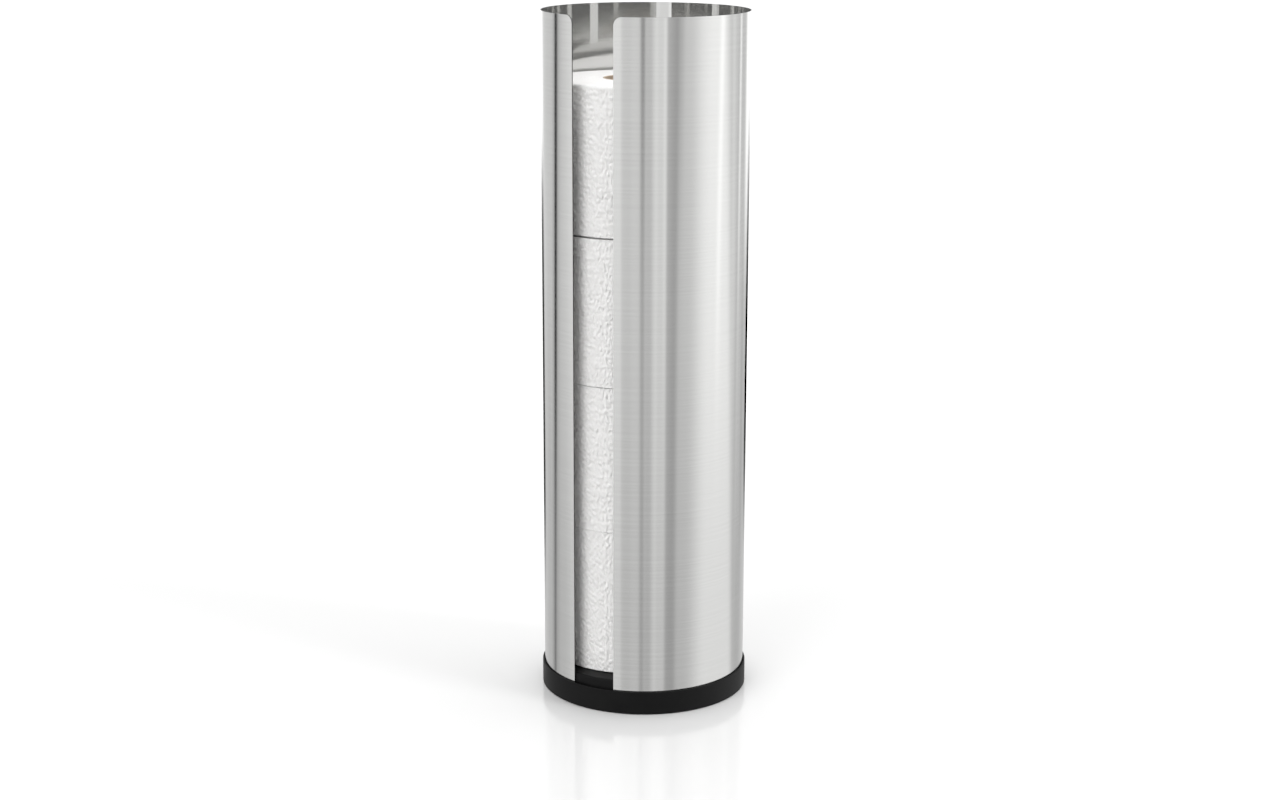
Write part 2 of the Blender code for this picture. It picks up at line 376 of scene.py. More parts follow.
@dataclass(frozen=True)
class BrushedSteel(Finish):
    """Stainless steel sheet, brushed along the way that it is rolled."""

    slot: str = "brushed_steel"
    dark: Colour = (0.592, 0.592, 0.584)
    light: Colour = (0.620, 0.620, 0.612)
    inner: Colour = (0.690, 0.690, 0.680)
    inner_metallic: float = 0.93
    # Nearly black on the cut faces and their edge roundings: painted shade for the shadow gap beside the
    # slot's edges.
    cut: Colour = (0.050, 0.050, 0.050)
    roughness: tuple[float, float] = (0.145, 0.160)
    inner_roughness: float = 0.045
    cut_roughness: float = 0.50
    stretch: float = 0.76
    stretch_turn: float = 0.25
    radius: float = 0.070
    hairline_length: float = 0.140
    hairline_pitch: float = 0.0010
    hairline_bump: float = 0.09
    streak_length: float = 0.110
    streak_pitch: float = 0.0030
    streak_share: float = 0.1
    cloud_size: float = 0.090
    cloud_contrast: float = 1.4
    cloud_share: float = 0.2
    colour_span: tuple[float, float] = (0.15, 0.85)
    roughness_span: tuple[float, float] = (0.1, 0.9)
    relief: float = 0.00002

    def dress(self, paint: Painter) -> dict[str, object]:
        """Lay hairlines over broader streaks, let both stretch the highlights up and down, and paint shade
        on the cut faces.

        Args:
            paint: The material's graph.

        Returns:
            What each of the shader's inputs takes.
        """
        hairlines = paint.lined(self.radius, self.hairline_length, self.hairline_pitch)
        streaks = paint.lined(self.radius, self.streak_length, self.streak_pitch)
        clouds = paint.mottled(self.cloud_size, self.cloud_contrast)
        tone = paint.mixed(paint.mixed(hairlines, streaks, self.streak_share), clouds, self.cloud_share)
        inside = paint.attribute("inside")
        cut = paint.attribute("cut")
        colour = paint.shade(tone, self.colour_span, self.dark, self.light)
        colour = paint.blend(inside, colour, (*self.inner, 1.0))
        roughness = paint.fit(tone, self.roughness_span, self.roughness)
        for where, value in ((inside, self.inner_roughness), (cut, self.cut_roughness)):
            change = paint.calc("MULTIPLY", where, paint.calc("SUBTRACT", value, roughness))
            roughness = paint.calc("ADD", roughness, change)
        dulled = paint.calc("MULTIPLY", inside, self.inner_metallic - 1.0)
        return {
            # The cut faces take the near-black colour: painted shade.
            "Base Color": paint.blend(cut, colour, (*self.cut, 1.0)),
            "Roughness": roughness,
            "Normal": paint.bump(hairlines, self.hairline_bump, self.relief),
            "Tangent": paint.add("Tangent", direction_type="RADIAL", axis="Z").outputs[0],
            "Metallic": paint.calc("ADD", dulled, 1.0),
            "Anisotropic": self.stretch,
            "Anisotropic Rotation": self.stretch_turn,
        }


@dataclass(frozen=True)
class MouldedFinish(Finish):
    """A dull moulded surface: a fine grain over clouds of two colours."""

    dark: Colour
    light: Colour
    roughness: tuple[float, float]
    gloss: float
    grain_size: float
    grain_contrast: float
    grain_bump: float
    cloud_size: float
    cloud_contrast: float
    cloud_span: tuple[float, float]
    relief: float = 0.00003

    def dress(self, paint: Painter) -> dict[str, object]:
        """Lay the grain over the clouds.

        Args:
            paint: The material's graph.

        Returns:
            What each of the shader's inputs takes.
        """
        grain = paint.mottled(self.grain_size, self.grain_contrast)
        clouds = paint.mottled(self.cloud_size, self.cloud_contrast)
        return {
            "Base Color": paint.shade(clouds, self.cloud_span, self.dark, self.light),
            "Roughness": paint.fit(clouds, UNIT, self.roughness),
            "Normal": paint.bump(grain, self.grain_bump, self.relief),
            "Specular IOR Level": self.gloss,
        }


@dataclass(frozen=True)
class MouldedPlastic(MouldedFinish):
    """Black plastic with the fine matt texture of its mould."""

    slot: str = "black_plastic"
    dark: Colour = (0.0040, 0.0040, 0.0042)
    light: Colour = (0.0070, 0.0070, 0.0070)
    roughness: tuple[float, float] = (0.42, 0.52)
    gloss: float = 0.10
    grain_size: float = 0.00055
    grain_contrast: float = 1.6
    grain_bump: float = 0.35
    cloud_size: float = 0.020
    cloud_contrast: float = 2.0
    cloud_span: tuple[float, float] = (0.1, 0.9)


@dataclass(frozen=True)
class PadRubber(MouldedFinish):
    """Dull rubber with a dusty bloom."""

    slot: str = "pad_rubber"
    dark: Colour = (0.018, 0.018, 0.018)
    light: Colour = (0.042, 0.041, 0.040)
    roughness: tuple[float, float] = (0.70, 0.88)
    gloss: float = 0.35
    grain_size: float = 0.00035
    grain_contrast: float = 2.0
    grain_bump: float = 0.5
    cloud_size: float = 0.0030
    cloud_contrast: float = 2.4
    cloud_span: tuple[float, float] = (0.2, 0.9)


@dataclass(frozen=True)
class TissuePaper(Finish):
    """Soft white tissue: crêped fibres on the side, the edges of many turns at the ends."""

    slot: str = "toilet_paper"
    # The side's darker colour is painted shade in the hollows: where the motif is pressed in and where the
    # crepe is low. The crown colour is the paper's own.
    hollow_shade_colour: Colour = (0.870, 0.862, 0.850)
    crown: Colour = (0.925, 0.920, 0.912)
    # Painted shade in the grooves between the turns on the roll's ends.
    shade_between_turns: Colour = (0.860, 0.850, 0.835)
    roughness: tuple[float, float] = (0.86, 0.97)
    gloss: float = 0.20
    sheen: float = 0.06
    sheen_roughness: float = 0.6
    contrast: float = 1.8
    fibre_size: float = 0.0007
    crepe_size: float = 0.0021
    crepe_draw: tuple[float, float, float] = (1.0, 1.0, 0.4)
    crepe_share: float = 0.92
    soft_shade: float = 0.35
    press_shade: float = 0.5
    side_span: tuple[float, float] = (0.0, 0.9)
    end_span: tuple[float, float] = (0.05, 0.55)
    turn_pitch: float = 0.00042
    turn_waves: float = 18.0
    turn_span: tuple[float, float] = (0.3, 0.7)
    turn_relief: float = 0.16
    relief: float = 0.00085

    def dress(self, paint: Painter) -> dict[str, object]:
        """Paint shade where the paper is pressed in and in its crepe's low parts, and draw the turns, with
        painted shade between them, where the piece's end attribute is set.

        Args:
            paint: The material's graph.

        Returns:
            What each of the shader's inputs takes.
        """
        fibres = paint.mottled(self.fibre_size, self.contrast)
        drawn = paint.add("VectorMath", {0: paint.place(), 1: self.crepe_draw}, operation="MULTIPLY")
        crepe = paint.mottled(self.crepe_size, self.contrast, drawn.outputs[0])
        soft = paint.mixed(fibres, crepe, self.crepe_share)
        end = paint.attribute("end")
        turns = self.turns(paint)

        # Painted shade: darker where the paper is pressed in, and darker in the crepe's low parts, which the
        # bump also draws lower, with a little random fibre tone.
        painted_press_shade = paint.calc("MULTIPLY", paint.attribute("pressed"), self.press_shade)
        level = paint.calc("ADD", paint.calc("MULTIPLY", soft, self.soft_shade), 1.0 - self.soft_shade)
        raised = paint.calc("SUBTRACT", level, painted_press_shade)
        side_colour = paint.shade(raised, self.side_span, self.hollow_shade_colour, self.crown)
        # Painted shade between the turns, where the bump draws the end lower.
        end_colour = paint.shade(turns, self.end_span, self.shade_between_turns, self.crown)
        edges = paint.calc("MULTIPLY", turns, self.turn_relief)
        return {
            "Base Color": paint.blend(end, side_colour, end_colour),
            "Normal": paint.bump(paint.fit(end, UNIT, (soft, edges)), 1.0, self.relief),
            "Roughness": paint.fit(soft, UNIT, self.roughness),
            "Specular IOR Level": self.gloss,
            "Sheen Weight": self.sheen,
            "Sheen Roughness": self.sheen_roughness,
        }

    def turns(self, paint: Painter) -> Socket:
        """The edges of the wound sheets, by how far each point is from the roll's axis.

        Args:
            paint: The material's graph.

        Returns:
            A mask that is 1 on a sheet's edge and 0 between two sheets.
        """
        depth = paint.calc("DIVIDE", paint.attribute("from_axis"), self.turn_pitch)
        around = paint.calc("MULTIPLY", paint.attribute("along"), self.turn_waves)
        return paint.flat_noise(depth, around, self.turn_span)


@dataclass(frozen=True)
class Cardboard(Finish):
    """Grey-brown board, wound from strips."""

    slot: str = "core_cardboard"
    dark: Colour = (0.440, 0.345, 0.265)
    light: Colour = (0.640, 0.535, 0.430)
    joint: Colour = (0.250, 0.190, 0.140)
    roughness: tuple[float, float] = (0.82, 0.95)
    gloss: float = 0.25
    radius: float = 0.0215
    fibre_length: float = 0.0060
    fibre_pitch: float = 0.00045
    fleck_size: float = 0.0011
    fleck_contrast: float = 2.6
    fleck_share: float = 0.5
    colour_span: tuple[float, float] = (0.1, 0.9)
    tone_bump: float = 0.5
    relief: float = 0.00005

    def dress(self, paint: Painter) -> dict[str, object]:
        """Lay fibres and flecks, and a dark line where the strips meet.

        Args:
            paint: The material's graph.

        Returns:
            What each of the shader's inputs takes.
        """
        fibres = paint.lined(self.radius, self.fibre_length, self.fibre_pitch)
        flecks = paint.mottled(self.fleck_size, self.fleck_contrast)
        tone = paint.mixed(fibres, flecks, self.fleck_share)
        board = paint.shade(tone, self.colour_span, self.dark, self.light)
        return {
            "Base Color": paint.blend(paint.attribute("joint"), board, (*self.joint, 1.0)),
            "Roughness": paint.fit(flecks, UNIT, self.roughness),
            "Normal": paint.bump(tone, self.tone_bump, self.relief),
            "Specular IOR Level": self.gloss,
        }


@dataclass(frozen=True)
class Corner:
    """A corner of a turned piece's profile: its place, and the radius that rounds it."""

    radius: float
    height: float
    rounding: float = 0.0


def bevel(bm: Shape, chosen: list, kind: str, size: float, steps: int, clamp: bool = False) -> None:
    """Round chosen corners or edges.

    Args:
        bm: The bmesh.
        chosen: Its corners or edges.
        kind: VERTICES or EDGES.
        size: How far the rounding reaches.
        steps: How many straight steps make it.
        clamp: Whether it stops where it would run into the next one.
    """
    bmesh.ops.bevel(
        bm,
        geom=chosen,
        offset=size,
        segments=steps,
        profile=BEVEL_PROFILE,
        affect=kind,
        clamp_overlap=clamp,
        material=-1,
    )


def profile(corners: Sequence[Corner], round_steps: int) -> Shape:
    """Draw a closed profile with rounded corners in the XZ plane.

    Args:
        corners: The profile's corners in order.
        round_steps: How many straight steps make one rounding.

    Returns:
        A bmesh that holds the profile as one face.
    """
    bm = bmesh.new()
    verts = [bm.verts.new((corner.radius, 0.0, corner.height)) for corner in corners]
    bm.faces.new(verts)
    for rounding in sorted({corner.rounding for corner in corners} - {0.0}):
        chosen = [vert for vert, corner in zip(verts, corners) if corner.rounding == rounding]
        bevel(bm, chosen, "VERTICES", rounding, round_steps)
    bm.faces.ensure_lookup_table()
    return bm


def turned(bm: Shape, steps: int) -> Shape:
    """Turn a profile round the Z axis into a closed body.

    Args:
        bm: The profile, which may touch the axis.
        steps: How many steps make the full turn.

    Returns:
        The same bmesh.
    """
    bmesh.ops.delete(bm, geom=bm.faces[:], context="FACES_ONLY")
    on_axis = [edge for edge in bm.edges if max(vert.co.x for vert in edge.verts) < WELD]
    bmesh.ops.delete(bm, geom=on_axis, context="EDGES")
    bmesh.ops.spin(
        bm,
        geom=bm.verts[:] + bm.edges[:],
        cent=(0, 0, 0),
        axis=(0, 0, 1),
        angle=math.tau,
        steps=steps,
        use_merge=True,
    )
    bmesh.ops.remove_doubles(bm, verts=bm.verts, dist=WELD)
    bmesh.ops.recalc_face_normals(bm, faces=bm.faces)
    return bm


def wrapped(outline: Sequence[tuple[float, float]], columns: int) -> Shape:
    """Wrap a grid round the Z axis into a closed ring.

    Args:
        outline: The ring's closed profile, as radius and height.
        columns: How many columns go round.

    Returns:
        The ring, whose layer "column" holds each point's column.
    """
    bm = bmesh.new()
    rows = len(outline)
    by_index = Matrix.Diagonal((columns / 2, rows / 2, 1, 1)) @ Matrix.Translation((1, 1, 0))
    bmesh.ops.create_grid(bm, x_segments=columns, y_segments=rows, size=1, matrix=by_index)
    layer = bm.verts.layers.int.new("column")
    for vert in bm.verts:
        column = round(vert.co.x) % columns
        radius, height = outline[round(vert.co.y) % rows]
        angle = math.tau * column / columns
        vert.co = radius * math.cos(angle), radius * math.sin(angle), height
        vert[layer] = column
    seam = [vert for vert in bm.verts if vert.is_boundary]
    bmesh.ops.remove_doubles(bm, verts=seam, dist=WELD)
    bmesh.ops.recalc_face_normals(bm, faces=bm.faces)
    return bm


def box_of(low: Vector, high: Vector) -> Shape:
    """Make a block.

    Args:
        low: Its lowest corner.
        high: Its highest corner.

    Returns:
        The block.
    """
    bm = bmesh.new()
    size = Matrix.Diagonal((*(high - low), 1.0))
    bmesh.ops.create_cube(bm, size=1.0, matrix=Matrix.Translation((low + high) / 2) @ size)
    return bm


def to_mesh(name: str, bm: Shape, sharp: float = SHARP_ANGLE) -> bpy.types.Mesh:
    """Turn a bmesh into a smooth-shaded mesh with sharp corners.

    Args:
        name: The mesh's name.
        bm: The bmesh, which is freed.
        sharp: The angle past which an edge is sharp.

    Returns:
        The mesh.
    """
    mesh = bpy.data.meshes.new(name)
    bm.to_mesh(mesh)
    bm.free()
    mesh.shade_smooth()
    mesh.set_sharp_from_angle(angle=sharp)
    return mesh


def points_of(mesh: bpy.types.Mesh) -> np.ndarray:
    """Read a mesh's points.

    Args:
        mesh: The mesh.

    Returns:
        Their places, one row each.
    """
    flat = np.empty(len(mesh.vertices) * 3)
    mesh.vertices.foreach_get("co", flat)
    return flat.reshape(-1, 3)


def set_points(mesh: bpy.types.Mesh, points: np.ndarray) -> None:
    """Move the mesh's points."""
    mesh.vertices.foreach_set("co", points.ravel())
    mesh.update()


def store(mesh: bpy.types.Mesh, **masks: np.ndarray) -> None:
    """Keep numbers at each point of a mesh, each under its own name, for its material to read."""
    for name, values in masks.items():
        mesh.attributes.new(name, "FLOAT", "POINT").data.foreach_set("value", values.astype(np.float32))


def ripples(across: np.ndarray, along: np.ndarray, size: float, seed: int) -> np.ndarray:
    """Smooth noise in two directions, made of plane waves.

    Args:
        across: Each point's place along the first direction.
        along: Its place along the second.
        size: About how long one wave is.
        seed: What sets the waves' directions.

    Returns:
        A value for each point, mostly between -1 and 1.
    """
    chance = np.random.default_rng(seed)
    total = np.zeros(len(across))
    for turn, stretch, start in chance.random((RIPPLE_WAVES, 3)):
        step = math.tau / (size * (SHORTEST_RIPPLE + RIPPLE_SPREAD * stretch))
        angle = math.tau * turn
        total += np.sin(step * (across * math.cos(angle) + along * math.sin(angle)) + math.tau * start)
    return total / math.sqrt(RIPPLE_WAVES)


def add_object(name: str, data: bpy.types.ID) -> bpy.types.Object:
    """Put a new object in the scene.

    Args:
        name: Its name.
        data: Its mesh or camera.

    Returns:
        The object.
    """
    made = bpy.data.objects.new(name, data)
    bpy.context.scene.collection.objects.link(made)
    return made


def weight_normals(piece: bpy.types.Object) -> None:
    """Let large faces set the shading, so that flat faces look flat beside their roundings.

    Args:
        piece: The piece.
    """
    step = piece.modifiers.new("Normals", "WEIGHTED_NORMAL")
    step.keep_sharp = True
    step.weight = NORMAL_WEIGHT


class Workshop:
    """The shared patterns, and the material of each finish that is in use."""

    def __init__(self) -> None:
        """Build the patterns."""
        self.patterns = Patterns()
        self.materials: dict[Finish, bpy.types.Material] = {}

    def place(
        self, name: str, mesh: bpy.types.Mesh, finish: Finish, body: str, node: str
    ) -> bpy.types.Object:
        """Put a finished mesh in the scene in place of its CAD node.

        Args:
            name: The piece's name.
            mesh: Its mesh, already where it belongs.
            finish: Its finish.
            body: The CAD body that it moves with.
            node: The CAD node that it stands for.

        Returns:
            The piece.
        """
        if finish not in self.materials:
            self.materials[finish] = finish.build(self.patterns)
        mesh.materials.clear()
        mesh.materials.append(self.materials[finish])
        piece = add_object(name, mesh)
        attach(piece, body)
        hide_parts(node)
        mesh.calc_loop_triangles()
        LOG.info("%s: %d triangles, rides on %s", name, len(mesh.loop_triangles), body)
        return piece


@dataclass
class TubeSheet:
    """The blank of thin steel sheet, rolled until its two edges leave the slot."""

    radius: float
    foot: float
    top: float
    finish: BrushedSteel = BrushedSteel()
    thickness: float = 0.0007
    slot_width: float = 0.0310
    slot_corner: float = 0.0055
    corner_steps: int = 14
    edge_break: float = 0.00018
    break_steps: int = 2
    cut_angle: float = math.radians(60)
    sharp_angle: float = math.radians(20)
    face_share: float = 0.02
    strips: int = 256
    courses: int = 24

    @classmethod
    def from_frame(cls) -> TubeSheet:
        """Take the sheet's outer sizes from its CAD node."""
        low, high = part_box("tube_sheet")
        return cls(radius=high.x, foot=low.z, top=high.z)

    def blank(self) -> Shape:
        """Cut the flat blank, upright in the XZ plane, and crease it into strips.

        Returns:
            The blank.
        """
        half_width = self.radius * (math.pi - math.asin(self.slot_width / 2 / self.radius))
        half_height = (self.top - self.foot) / 2
        upright = Matrix.Translation((0, 0, self.foot + half_height)) @ Matrix.Rotation(math.pi / 2, 4, "X")
        size = Matrix.Diagonal((half_width, half_height, 1, 1))
        bm = bmesh.new()
        bmesh.ops.create_grid(bm, x_segments=1, y_segments=1, size=1, matrix=upright @ size)
        top_corners = [vert for vert in bm.verts if vert.co.z > self.top - WELD]
        bevel(bm, top_corners, "VERTICES", self.slot_corner, self.corner_steps)
        rounded = {round(vert.co.x, SAME_DIGITS) for vert in bm.verts if abs(vert.co.x) < half_width - WELD}
        straight = half_width - self.slot_corner
        even = {straight * (2 * index / self.strips - 1) for index in range(1, self.strips)}
        for x in sorted(rounded | even):
            self.crease(bm, (x, 0, 0), (1, 0, 0))
        rise = self.top - self.slot_corner - self.foot
        for index in range(1, self.courses):
            self.crease(bm, (0, 0, self.foot + rise * index / self.courses), (0, 0, 1))
        return bm

    @staticmethod
    def crease(bm: Shape, point: Sequence[float], normal: Sequence[float]) -> None:
        """Cut every face along a plane, and keep both sides."""
        everything = bm.verts[:] + bm.edges[:] + bm.faces[:]
        bmesh.ops.bisect_plane(bm, geom=everything, dist=WELD, plane_co=point, plane_no=normal)

    def build(self, shop: Workshop) -> None:
        """Roll the blank, give it its thickness and break its edges.

        Args:
            shop: What dresses and places it.
        """
        bm = self.blank()
        for vert in bm.verts:
            turn = vert.co.x / self.radius
            vert.co.x = self.radius * math.sin(turn)
            vert.co.y = self.radius * math.cos(turn)
        inside = bmesh.ops.extrude_face_region(bm, geom=bm.faces[:])["geom"]
        share = (self.radius - self.thickness) / self.radius
        inner_verts = [item for item in inside if isinstance(item, bmesh.types.BMVert)]
        bmesh.ops.scale(bm, vec=(share, share, 1), verts=inner_verts)
        bmesh.ops.recalc_face_normals(bm, faces=bm.faces)
        cut_edges = [edge for edge in bm.edges if edge.calc_face_angle(0.0) > self.cut_angle]
        bevel(bm, cut_edges, "EDGES", self.edge_break, self.break_steps, clamp=True)
        mesh = to_mesh("steel_sheet", bm, self.sharp_angle)
        points = points_of(mesh)
        depth = (self.radius - np.hypot(points[:, 0], points[:, 1])) / self.thickness
        off_outer, off_inner = depth > self.face_share, depth < 1.0 - self.face_share
        # The cut faces and their roundings are marked, so that the material paints shade on them and makes
        # them rough.
        store(mesh, inside=~off_inner, cut=off_outer & off_inner)
        shop.place("steel_sheet", mesh, self.finish, "holder", "tube_sheet")


@dataclass
class BaseMoulding:
    """The round moulded base: lip, groove, plug and deck, with ribs, a hub and bosses underneath."""

    foot: float
    top: float
    base_radius: float
    finish: MouldedPlastic = MouldedPlastic()
    lip_wall: float = 0.0012
    lip_round: float = 0.0004
    skirt_wall: float = 0.0024
    skirt_round: float = 0.0005
    groove_width: float = 0.0013
    groove_floor: float = 0.0062
    groove_depth: float = 0.0100
    groove_web: float = 0.0024
    plug_wall: float = 0.0022
    plug_round: float = 0.0012
    deck_thickness: float = 0.0025
    rib_count: int = 8
    rib_thickness: float = 0.0016
    rib_depth: float = 0.0130
    hub_radius: float = 0.0120
    hub_wall: float = 0.0020
    boss_radius: float = 0.0088
    boss_bite: float = 0.0010
    pocket_radius: float = 0.0068
    pocket_ceiling: float = 0.0017
    pad_count: int = 4
    overrun: float = 0.0010
    steps: int = 288
    round_steps: int = 6
    boss_steps: int = 48

    @classmethod
    def from_frame(cls) -> BaseMoulding:
        """Take the base's outer sizes from its CAD node."""
        low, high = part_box("base_moulding")
        return cls(foot=low.z, top=high.z, base_radius=high.x)

    @property
    def plug(self) -> float:
        """The plug's outer radius."""
        return self.base_radius - self.lip_wall - self.groove_width

    @property
    def deck_underside(self) -> float:
        """How high the deck's underside is."""
        return self.top - self.deck_thickness

    def shell(self) -> Shape:
        """Turn the base's shell.

        Returns:
            The shell.
        """
        groove_outer = self.base_radius - self.lip_wall
        plug_inner = self.plug - self.plug_wall
        skirt_inner = self.base_radius - self.skirt_wall
        lip_top = self.groove_floor + self.groove_depth
        web_underside = self.groove_floor - self.groove_web
        corners = [
            Corner(0, self.top),
            Corner(self.plug, self.top, self.plug_round),
            Corner(self.plug, self.groove_floor),
            Corner(groove_outer, self.groove_floor),
            Corner(groove_outer, lip_top, self.lip_round),
            Corner(self.base_radius, lip_top, self.lip_round),
            Corner(self.base_radius, self.foot, self.skirt_round),
            Corner(skirt_inner, self.foot),
            Corner(skirt_inner, web_underside),
            Corner(plug_inner, web_underside),
            Corner(plug_inner, self.deck_underside, self.plug_round),
            Corner(0, self.deck_underside),
        ]
        return turned(profile(corners, self.round_steps), self.steps)

    @staticmethod
    def tool(bm: Shape, where: Matrix) -> bpy.types.Object:
        """Make a helper object that is joined to the shell or cut out of it.

        Args:
            bm: Its shape, which is freed.
            where: Its place.

        Returns:
            The helper.
        """
        bmesh.ops.transform(bm, matrix=where, verts=bm.verts)
        bmesh.ops.recalc_face_normals(bm, faces=bm.faces)
        return add_object("base_tool", to_mesh("base_tool", bm))

    def drum(self, radius: float, low: float, high: float) -> Shape:
        """A cylinder on the Z axis.

        Args:
            radius: Its radius.
            low: How high its foot is.
            high: How high its top is.

        Returns:
            The cylinder.
        """
        bm = bmesh.new()
        bmesh.ops.create_cone(
            bm,
            cap_ends=True,
            segments=self.boss_steps,
            radius1=radius,
            radius2=radius,
            depth=high - low,
            matrix=Matrix.Translation((0, 0, (low + high) / 2)),
        )
        return bm

    def stiffen(self, base: bpy.types.Object) -> bpy.types.Mesh:
        """Join the ribs, hub and bosses to the shell, and cut the hub's socket and the pads' pockets.

        Args:
            base: The shell.

        Returns:
            The finished mesh.
        """
        rib_foot = self.deck_underside - self.rib_depth
        rib_top = self.deck_underside + self.overrun
        plug_inner = self.plug - self.plug_wall
        rib_low = Vector((self.hub_radius - self.overrun, -self.rib_thickness / 2, rib_foot))
        rib_high = Vector((plug_inner + self.overrun, self.rib_thickness / 2, rib_top))
        still = Matrix.Identity(4)

        added = [self.tool(self.drum(self.hub_radius, rib_foot, rib_top), still)]
        for index in range(self.rib_count):
            turn = Matrix.Rotation(math.tau * index / self.rib_count, 4, "Z")
            added.append(self.tool(box_of(rib_low, rib_high), turn))
        socket = self.drum(self.hub_radius - self.hub_wall, rib_foot - self.overrun, self.deck_underside)
        removed = [self.tool(socket, still)]
        for index in range(self.pad_count):
            angle = math.tau * (index + MIDDLE) / self.pad_count
            circle = plug_inner - self.boss_radius + self.boss_bite
            where = Matrix.Translation((circle * math.cos(angle), circle * math.sin(angle), 0))
            added.append(self.tool(self.drum(self.boss_radius, self.foot, rib_top), where))
            pocket = self.drum(self.pocket_radius, self.foot - self.overrun, self.pocket_ceiling)
            removed.append(self.tool(pocket, where))

        for operation, tools in (("UNION", added), ("DIFFERENCE", removed)):
            for tool in tools:
                step = base.modifiers.new("Shape", "BOOLEAN")
                step.operation = operation
                step.solver = "EXACT"
                step.object = tool
        shaped = bpy.data.meshes.new_from_object(base.evaluated_get(bpy.context.evaluated_depsgraph_get()))
        for helper in (base, *added, *removed):
            bpy.data.objects.remove(helper, do_unlink=True)
        return shaped

    def build(self, shop: Workshop) -> None:
        """Make the base.

        Args:
            shop: What dresses and places it.
        """
        mesh = self.stiffen(add_object("base_rough", to_mesh("base_rough", self.shell())))
        mesh.name = "base_shell"
        mesh.shade_smooth()
        mesh.set_sharp_from_angle(angle=SHARP_ANGLE)
        weight_normals(shop.place("base_shell", mesh, self.finish, "holder", "base_moulding"))


@dataclass
class AntiSlipPads:
    """The rubber pads, each with raised rings on the face that it stands on."""

    finish: PadRubber = PadRubber()
    count: int = 4
    edge_round: float = 0.0003
    ring_pitch: float = 0.0014
    ring_depth: float = 0.00018
    ring_share: float = 0.25
    steps: int = 96
    round_steps: int = 4

    def build(self, shop: Workshop) -> None:
        """Make the pads.

        Args:
            shop: What dresses and places them.
        """
        for number in range(1, self.count + 1):
            low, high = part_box(f"pad_{number}")
            middle = (low + high) / 2
            outline = self.outline((high.x - low.x) / 2, low.z, high.z)
            bm = turned(profile(outline, self.round_steps), self.steps)
            bmesh.ops.translate(bm, vec=(middle.x, middle.y, 0), verts=bm.verts)
            mesh = to_mesh(f"pad_disc_{number}", bm)
            weight_normals(shop.place(f"pad_disc_{number}", mesh, self.finish, "holder", f"pad_{number}"))

    def outline(self, radius: float, foot: float, top: float) -> list[Corner]:
        """Draw one pad's profile, with its rings.

        Args:
            radius: The pad's radius.
            foot: How high its foot is.
            top: How high its top is.

        Returns:
            The profile's corners.
        """
        corners = [Corner(0, top)]
        corners += [Corner(radius, height, self.edge_round) for height in (top, foot)]
        half_ring = self.ring_pitch * self.ring_share
        valley = foot + self.ring_depth
        for index in range(int((radius - self.ring_pitch) / self.ring_pitch), 0, -1):
            outer = index * self.ring_pitch + half_ring
            inner = index * self.ring_pitch - half_ring
            corners += [Corner(outer, foot), Corner(outer - self.ring_depth, valley)]
            corners += [Corner(inner + self.ring_depth, valley), Corner(inner, foot)]
        return corners + [Corner(0, foot)]


@dataclass(frozen=True)
class Seam:
    """How the paper ends at a seam of the stack: its rim's rounding, and how far it stands back."""

    rounding: float
    setback: float = 0.0


SEAMS = (Seam(0.0008), Seam(0.00025, -0.00009), Seam(0.0004), Seam(0.0007, 0.0003), Seam(0.0020))


